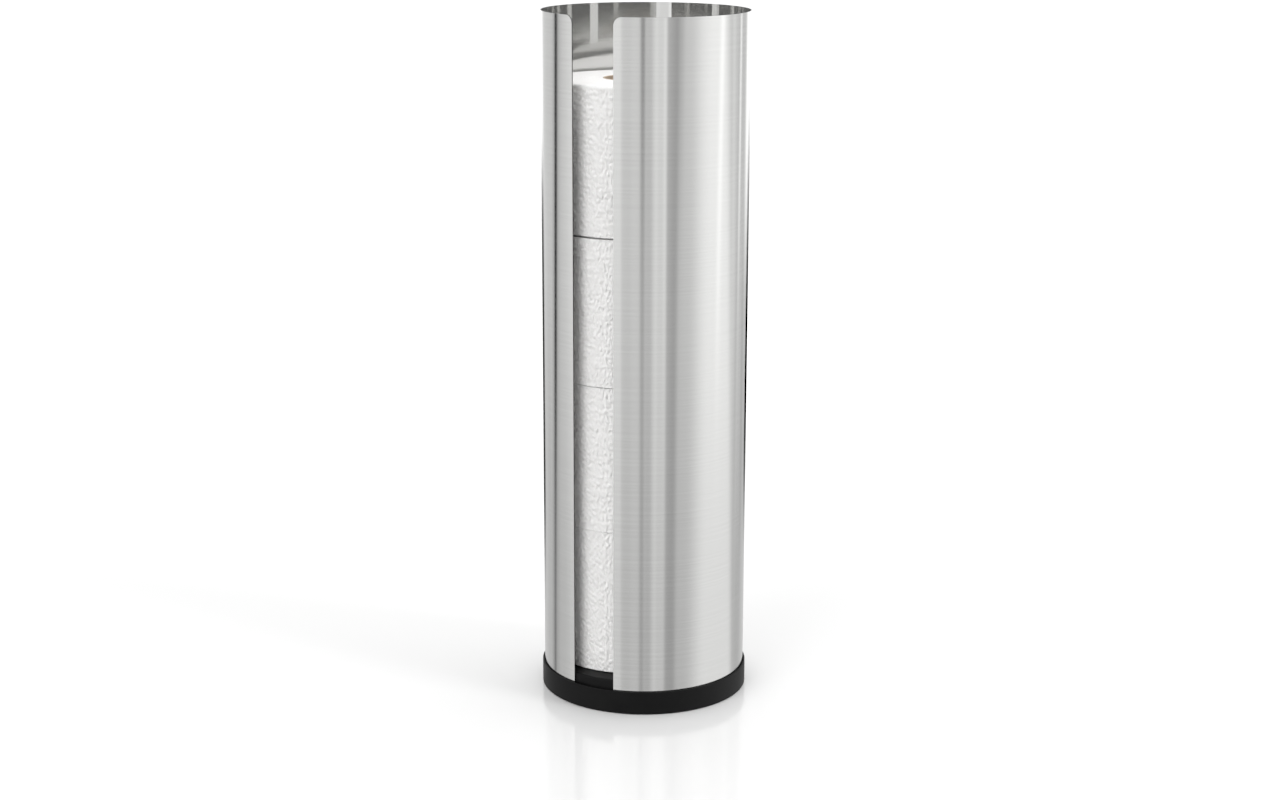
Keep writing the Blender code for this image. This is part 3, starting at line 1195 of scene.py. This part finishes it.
@dataclass
class ToiletRoll:
    """One roll: a cardboard core, and the embossed paper that is wound on it."""

    number: int
    centre: Vector
    foot: float
    height: float
    core_radius: float
    paper_radius: float = 0.0567
    paper_finish: TissuePaper = TissuePaper()
    core_finish: Cardboard = Cardboard()
    seams: tuple[Seam, Seam] = SEAMS[:2]
    lap: float = 0.0005
    lap_gap: float = 0.0001
    end_share: float = 0.30
    fit_gap: float = 0.0003
    core_wall: float = 0.0012
    core_round: float = 0.0003
    core_courses: int = 61
    core_steps: int = 144
    strip_pitch: float = 0.070
    strip_hand: Turn = Turn.RIGHT_HAND
    joint_width: float = 0.0009
    joint_depth: float = 0.00015
    motif_width: float = 0.00712
    motif_height: float = 0.0098
    motif_drift: float = 0.035
    drift_size: float = 0.006
    oval: tuple[float, float] = (0.37, 0.40)
    oval_line: float = 0.30
    dimple_size: float = 0.34
    dimple_share: float = 0.7
    press_depth: float = 0.00042
    press_strength: float = 0.75
    press_change: float = 0.35
    press_size: float = 0.009
    press_limit: float = 1.2
    rim_fade: float = 0.0012
    crepe_depth: float = 0.00028
    crepe_size: float = 0.0025
    crepe_draw: tuple[float, float] = (1.3, 0.65)
    sag_depth: float = 0.00016
    sag_size: float = 0.034
    turn_depth: float = 0.00018
    turn_size: float = 0.0075
    turn_draw: tuple[float, float] = (3.0, 0.2)
    turn_fade: float = 0.0015
    columns: int = 520
    rows: int = 150
    end_rings: int = 12
    round_steps: int = 3

    @classmethod
    def from_frame(cls, number: int) -> ToiletRoll:
        """Take the roll's place and its core's sizes from its CAD nodes.

        Args:
            number: The roll's number, as in its CAD nodes' names.

        Returns:
            The roll.
        """
        low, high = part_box(f"roll_core_{number}")
        seams = SEAMS[number - 1], SEAMS[number]
        return cls(number, (low + high) / 2, low.z, high.z - low.z, (high.x - low.x) / 2, seams=seams)

    def build(self, shop: Workshop) -> None:
        """Make the roll.

        Args:
            shop: What dresses and places it.
        """
        number, body = self.number, f"roll_{self.number}"
        shop.place(f"wound_{number}", self.paper(), self.paper_finish, body, f"paper_roll_{number}")
        core = shop.place(f"core_{number}", self.core(), self.core_finish, body, f"roll_core_{number}")
        weight_normals(core)

    def outline(self, bore: float, foot: float, top: float) -> list[tuple[float, float]]:
        """Draw the paper's profile, and divide it finely.

        Args:
            bore: The radius of its hole.
            foot: How high its lower end is.
            top: How high its upper end is.

        Returns:
            The radius and height of each point in order.
        """
        lower, upper = self.seams
        corners = [
            Corner(bore, foot),
            Corner(self.paper_radius, foot, lower.rounding),
            Corner(self.paper_radius, top, upper.rounding),
            Corner(bore, top),
        ]
        flat = profile(corners, self.round_steps)
        for edge in list(flat.edges):
            radii = [vert.co.x for vert in edge.verts]
            if min(radii) > self.paper_radius - WELD:
                bmesh.ops.subdivide_edges(flat, edges=[edge], cuts=self.rows - 1)
            elif max(radii) > bore + WELD and edge.calc_length() > (self.paper_radius - bore) / 2:
                bmesh.ops.subdivide_edges(flat, edges=[edge], cuts=self.end_rings - 1)
        flat.faces.ensure_lookup_table()
        points = [(vert.co.x, vert.co.z) for vert in flat.faces[0].verts]
        flat.free()
        return points

    def waves(self, draw: Draw, size: float, across: np.ndarray, along: np.ndarray) -> np.ndarray:
        """One of the roll's own random reliefs."""
        return ripples(across, along, size, self.number + draw)

    def paper(self) -> bpy.types.Mesh:
        """Wind and emboss the paper.

        Returns:
            The paper's mesh.
        """
        bore = self.core_radius + self.fit_gap
        foot, top = self.seams[0].setback, self.height - self.seams[1].setback
        mesh = to_mesh(f"wound_{self.number}", wrapped(self.outline(bore, foot, top), self.columns))

        points = points_of(mesh)
        from_axis = np.hypot(points[:, 0], points[:, 1])
        column = np.empty(len(points), dtype=np.int32)
        mesh.attributes["column"].data.foreach_get("value", column)
        share = column / (self.columns - 1)
        height = points[:, 2].copy()
        along = share * math.tau * self.paper_radius
        loose = np.clip((from_axis - bore) / (self.paper_radius - bore), 0, 1)

        on_side = from_axis > self.paper_radius - WELD
        pressed = self.emboss(along, height) * on_side
        sag = self.waves(Draw.SAG, self.sag_size, along, height) * self.sag_depth
        wide, tall = self.crepe_draw
        crepe = self.waves(Draw.CREPE, self.crepe_size, along * wide, height * tall) * self.crepe_depth
        radius = from_axis - self.lap * share * loose
        radius -= pressed * self.press_depth + (abs(sag) + crepe) * on_side

        at_end = np.minimum(height - foot, top - height) < WELD
        inner_edge = np.clip((from_axis - bore) / self.turn_fade, 0, 1)
        deep, round_axis = self.turn_draw
        step = self.waves(Draw.ENDS, self.turn_size, from_axis * deep, along * round_axis)
        dip = at_end * inner_edge * (MIDDLE + MIDDLE * np.clip(step, -1, 1)) * self.turn_depth
        height += np.where(height > self.height / 2, -dip, dip)

        angle = math.tau * (share * (1 - self.lap_gap) + self.end_share * (self.number - 1))
        set_points(mesh, np.column_stack((radius * np.cos(angle), radius * np.sin(angle), height)))
        # The material paints shade where pressed is high.
        store(mesh, pressed=pressed, end=at_end, from_axis=from_axis, along=along)
        mesh.transform(Matrix.Translation((self.centre.x, self.centre.y, self.foot)))
        return mesh

    def emboss(self, along: np.ndarray, height: np.ndarray) -> np.ndarray:
        """Press staggered ovals, each with a dimple in its middle, into the outer sheet.

        Args:
            along: How far each point is along the sheet.
            height: How high it is on the roll.

        Returns:
            How far each point is pressed in, from 0 to 1.
        """
        drawn = self.waves(Draw.MOTIF, self.drift_size, along, height) * self.motif_drift
        column = along / self.motif_width + drawn
        row = height / self.motif_height + MIDDLE * (np.floor(column) % 2) - drawn
        wide, tall = self.oval
        across = (column - np.floor(column) - MIDDLE) / wide
        ring = np.hypot(across, (row - np.floor(row) - MIDDLE) / tall)
        line = np.exp(-(((ring - 1.0) / self.oval_line) ** 2))
        dimple = np.exp(-((ring / self.dimple_size) ** 2))
        change = self.waves(Draw.STRENGTH, self.press_size, along, height)
        strength = self.press_strength + self.press_change * change
        lower, upper = self.seams
        rim_margin = np.minimum(height - lower.rounding, self.height - upper.rounding - height)
        fade = np.clip(rim_margin / self.rim_fade, 0, 1)
        return np.clip((line + self.dimple_share * dimple) * strength, 0, self.press_limit) * fade

    def core(self) -> bpy.types.Mesh:
        """Wind the cardboard core.

        Returns:
            The core's mesh.
        """
        inner, outer = self.core_radius - self.core_wall, self.core_radius
        places = ((inner, 0), (outer, 0), (outer, self.height), (inner, self.height))
        bm = profile([Corner(*place, self.core_round) for place in places], self.round_steps)
        inner_wall = [edge for edge in bm.edges if max(vert.co.x for vert in edge.verts) < inner + WELD]
        bmesh.ops.subdivide_edges(bm, edges=inner_wall, cuts=self.core_courses - 1)
        mesh = to_mesh(f"core_{self.number}", turned(bm, self.core_steps))
        points = points_of(mesh)
        radius = np.hypot(points[:, 0], points[:, 1])
        turns = np.arctan2(points[:, 1], points[:, 0]) / math.tau * self.strip_hand.value
        phase = turns - points[:, 2] / self.strip_pitch
        away = abs(phase - np.rint(phase)) * self.strip_pitch
        joint = np.clip(1 - away / self.joint_width, 0, 1) * (radius < inner + WELD)
        points[:, :2] *= (1 + joint * self.joint_depth / radius)[:, None]
        set_points(mesh, points)
        store(mesh, joint=joint)
        mesh.transform(Matrix.Translation((self.centre.x, self.centre.y, self.foot)))
        return mesh


@dataclass(frozen=True)
class StudioPanel:
    """A panel of the studio: angles in degrees, rightwards from the camera's side and upwards.

    A panel that leans stands at its angles where it is ten degrees below the horizon. Its beginning
    leans as its end does, unless it has a lean of its own.
    """

    kind: Panel
    begin: float
    end: float
    begin_feather: float
    end_feather: float
    level: float
    bottom: float = -200.0
    top: float = 200.0
    fade: float = 3.0
    lean: float = 0.0
    begin_lean: float | None = None


@dataclass
class Studio:
    """The floor, the light round the holder and the camera."""

    azimuth: float = math.radians(30.06)
    yaw: float = 0.004176
    pitch: float = math.radians(13.942)
    roll: float = 0.0023
    distance: float = 1.5176
    camera_height: float = 0.5802
    lens_mm: float = 64.14
    sensor_mm: float = 36.0
    clip_factor: float = 3.0
    floor_half: float = 15.0
    floor_colour: Colour = (0.30, 0.30, 0.30)
    floor_matt: float = 0.59
    floor_gloss: float = 0.20
    floor_roughness: float = 0.12
    mirrored_levels: tuple[float, float] = (0.90, 1.9)
    foot_span: tuple[float, float] = (-21.0, -9.5)
    foot_levels: tuple[float, float] = (0.78, 1.0)
    sky_span: tuple[float, float] = (35.0, 60.0)
    panels: tuple[StudioPanel, ...] = (
        StudioPanel(SOFTBOX, -181, -149, 1, 9, 0.54, -9.0, 4, 2.5),
        StudioPanel(FLAG, -181, -153.5, 1, 5, 0.90, -19.2, -6.8, 3.2),
        StudioPanel(FLAG, -156, -128, 4, 8, 0.08, -18.5, -10.0, 3.0),
        StudioPanel(FLAG, -150, -121, 8, 4, 0.04),
        StudioPanel(FLAG, -128.0, -116, 4, 3, 0.16, lean=LEFT_LEAN),
        StudioPanel(FLAG, -122.4, -114.0, 2.6, 3.0, 0.38, top=20, lean=LEFT_LEAN),
        StudioPanel(FLAG, -121.8, -113.4, 2.4, 3.0, 0.45, -18.5, 20, 6.0, lean=LEFT_LEAN),
        StudioPanel(FLAG, -117, -105, 3, 8, 0.14, lean=LEFT_LEAN),
        StudioPanel(SOFTBOX, -108, -24, 25, 4, 0.23),
        StudioPanel(SOFTBOX, -18, -5, 5, 2, 0.07),
        StudioPanel(FLAG, -6.4, 0.2, 2.4, 2.2, 0.26),
        StudioPanel(FLAG, -6.4, 0.2, 2.4, 2.2, 0.40, -10.0, 40, 7.0),
        StudioPanel(FLAG, 0.0, 8.2, 2.0, 2.6, 0.10),
        StudioPanel(SOFTBOX, 7.0, 23.6, 2.0, 2.0, 0.13),
        StudioPanel(SOFTBOX, 9.5, 14.0, 2.0, 2.0, 0.12),
        StudioPanel(SOFTBOX, 19.0, 23.4, 1.4, 1.6, 0.24, -14.5, 40, 4.0),
        StudioPanel(FLAG, 22.4, 38.5, 2.6, 6.0, 0.25),
        StudioPanel(FLAG, 26.0, 39.5, 6.0, 5.0, 0.09, begin_lean=0.0, lean=0.8),
        StudioPanel(FLAG, 31.0, 44.5, 5.0, 6.0, 0.20, -9.5, 40, 5.0),
        StudioPanel(SOFTBOX, 47.5, 113.5, 32, 12, 0.49, begin_lean=0.35, lean=-1.2),
        StudioPanel(SOFTBOX, 83.6, 93.4, 4.5, 4.5, 0.42, -14.5, 40, 6.0, lean=0.66),
        StudioPanel(SOFTBOX, 111.0, 120.0, 2.0, 4.0, 0.15, -15.0, 40, 5.0, lean=-0.5),
        StudioPanel(FLAG, 119.5, 127, 3, 3, 0.10, -18.0, 40, 3.0),
        StudioPanel(SOFTBOX, 124.8, 130.2, 1.6, 1.6, 0.56, -12.4, 4, 4.5),
        StudioPanel(FLAG, 127, 150, 5, 8, 0.09),
        StudioPanel(FLAG, 135, 160, 6, 3, 0.18, -18.5, -8.8, 3.0),
        StudioPanel(SOFTBOX, 140.0, 181, 8, 1, 0.68, -11.5, 4, 5.0),
        StudioPanel(FLAG, 153.6, 181, 6, 1, 1.00, -18.0, -5.2, 3.5),
    )
    matt_levels: tuple[float, float] = (0.85, 1.38)
    lamps: tuple[StudioPanel, ...] = (
        StudioPanel(SOFTBOX, -66, -8, 16, 16, 2.60, -200, 55, 10.0),
        StudioPanel(FLAG, -6, 52, 10, 4, 0.82, -200, 50, 10.0),
        StudioPanel(SOFTBOX, 54, 74, 4, 4, 7.50, 0, 50, 8.0),
        StudioPanel(SOFTBOX, 74, 181, 12, 1, 1.05, 8, 200, 14.0),
        StudioPanel(SOFTBOX, -181, -120, 1, 12, 0.90, 12, 200, 14.0),
    )

    def build(self, patterns: Patterns) -> None:
        """Make the floor, the world and the camera.

        Args:
            patterns: The shared node groups.
        """
        self.build_floor()
        self.build_world(patterns)
        self.build_camera()
        bpy.context.scene.view_settings.view_transform = "Standard"

    def build_floor(self) -> None:
        """Lay a pale, faintly glossy floor that the steel looks past, so that it shows the panels."""
        bm = bmesh.new()
        bmesh.ops.create_grid(bm, x_segments=1, y_segments=1, size=self.floor_half)
        floor = add_object("studio_floor", to_mesh("studio_floor", bm))

        material = bpy.data.materials.new("studio_floor")
        material.use_nodes = True
        graph = Graph(material.node_tree)
        rays = graph.add("LightPath").outputs
        plain = graph.add("BsdfDiffuse", {"Color": (*self.floor_colour, 1.0)}).outputs[0]
        matt = graph.add("BsdfDiffuse", {"Color": (*[self.floor_matt] * 3, 1.0)}).outputs[0]
        gloss_inputs = {"Color": (*[self.floor_gloss] * 3, 1.0), "Roughness": self.floor_roughness}
        gloss = graph.add("BsdfGlossy", gloss_inputs).outputs[0]
        shown = graph.add("AddShader", {0: matt, 1: gloss}).outputs[0]
        floor_shader = graph.add("MixShader", {0: rays["Is Camera Ray"], 1: plain, 2: shown}).outputs[0]
        clear = graph.add("BsdfTransparent").outputs[0]
        shader = graph.add("MixShader", {0: rays["Is Glossy Ray"], 1: floor_shader, 2: clear}).outputs[0]
        graph.add("OutputMaterial", {"Surface": shader})
        floor.data.materials.append(material)

    def build_world(self, patterns: Patterns) -> None:
        """Light the holder from panels all round and a soft sky, and show the camera plain white.

        Args:
            patterns: The shared node groups.
        """
        world = bpy.data.worlds.new("studio")
        world.use_nodes = True
        bpy.context.scene.world = world
        graph = Graph(world.node_tree)
        outward = graph.add("TexCoord").outputs["Generated"]
        turn = graph.add("VectorRotate", {"Vector": outward, "Angle": -self.azimuth}, rotation_type="Z_AXIS")
        split = graph.add("SeparateXYZ", {0: turn.outputs[0]})
        to_camera = graph.calc("MULTIPLY", split.outputs["Y"], -1.0)
        angle = graph.calc("DEGREES", graph.calc("ARCTAN2", split.outputs["X"], to_camera))
        rise = graph.calc("DEGREES", graph.calc("ARCSINE", split.outputs["Z"]))
        rays = graph.add("LightPath").outputs
        shader = self.surround(graph, patterns, (angle, rise), self.lamps, self.matt_levels)
        mirrored = self.surround(graph, patterns, (angle, rise), self.panels, self.mirrored_levels)
        seen = graph.add("Background", {"Color": WHITE, "Strength": 1.0}).outputs[0]
        for ray, other in (("Is Glossy Ray", mirrored), ("Is Camera Ray", seen)):
            shader = graph.add("MixShader", {0: rays[ray], 1: shader, 2: other}).outputs[0]
        graph.add("OutputWorld", {"Surface": shader})

    def surround(
        self,
        graph: Graph,
        patterns: Patterns,
        direction: tuple[Socket, Socket],
        panels: Sequence[StudioPanel],
        levels: tuple[float, float],
    ) -> Socket:
        """The light that comes from all round: a wall with panels before it, and a sky.

        Args:
            graph: The world's graph.
            patterns: The shared node groups.
            direction: The compass angle and the angle above the horizon.
            panels: The panels.
            levels: The wall's level and the sky's.

        Returns:
            The background shader's socket.
        """
        angle, rise = direction
        wall, sky = levels
        for panel in panels:
            inputs = {
                "Angle": angle,
                "Begin": panel.begin,
                "End": panel.end,
                "Begin feather": panel.begin_feather,
                "End feather": panel.end_feather,
                "Begin lean": panel.lean if panel.begin_lean is None else panel.begin_lean,
                "End lean": panel.lean,
                "Level": panel.level * panel.kind.value,
                "Rise": rise,
                "Bottom": panel.bottom,
                "Top": panel.top,
                "Fade": panel.fade,
            }
            light = graph.add("Group", inputs, node_tree=patterns.panel).outputs["Light"]
            wall = graph.calc("ADD", wall, light)
        lower = graph.calc("MULTIPLY", wall, graph.fit(rise, self.foot_span, self.foot_levels))
        above = graph.fit(rise, self.sky_span, UNIT)
        wall_part = graph.calc("MULTIPLY", lower, graph.calc("SUBTRACT", 1.0, above))
        whole = graph.calc("ADD", wall_part, graph.calc("MULTIPLY", above, sky))
        return graph.add("Background", {"Color": WHITE, "Strength": whole}).outputs[0]

    def build_camera(self) -> None:
        """Stand the camera where the photograph was taken from."""
        data = bpy.data.cameras.new("camera")
        data.lens = self.lens_mm
        data.sensor_width = self.sensor_mm
        data.sensor_fit = "HORIZONTAL"
        data.clip_end = self.floor_half * self.clip_factor
        camera = add_object("camera", data)
        away = Matrix.Translation((0, -self.distance, self.camera_height))
        aim = Matrix.Rotation(self.yaw, 4, "Z") @ Matrix.Rotation(math.pi / 2 - self.pitch, 4, "X")
        stand = Matrix.Rotation(self.azimuth, 4, "Z") @ away
        camera.matrix_world = stand @ aim @ Matrix.Rotation(self.roll, 4, "Z")
        bpy.context.scene.camera = camera


def main() -> None:
    """Load the frame, build each sub-assembly round it, and light it."""
    logging.basicConfig(level=logging.INFO, format="%(name)s: %(message)s")
    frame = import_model()
    shop = Workshop()
    TubeSheet.from_frame().build(shop)
    BaseMoulding.from_frame().build(shop)
    AntiSlipPads().build(shop)
    roll_bodies = [name for name in frame["bodies"] if name.startswith("roll_")]
    for number in range(1, len(roll_bodies) + 1):
        ToiletRoll.from_frame(number).build(shop)
    Studio().build(shop.patterns)


if __name__ == "__main__":
    main()
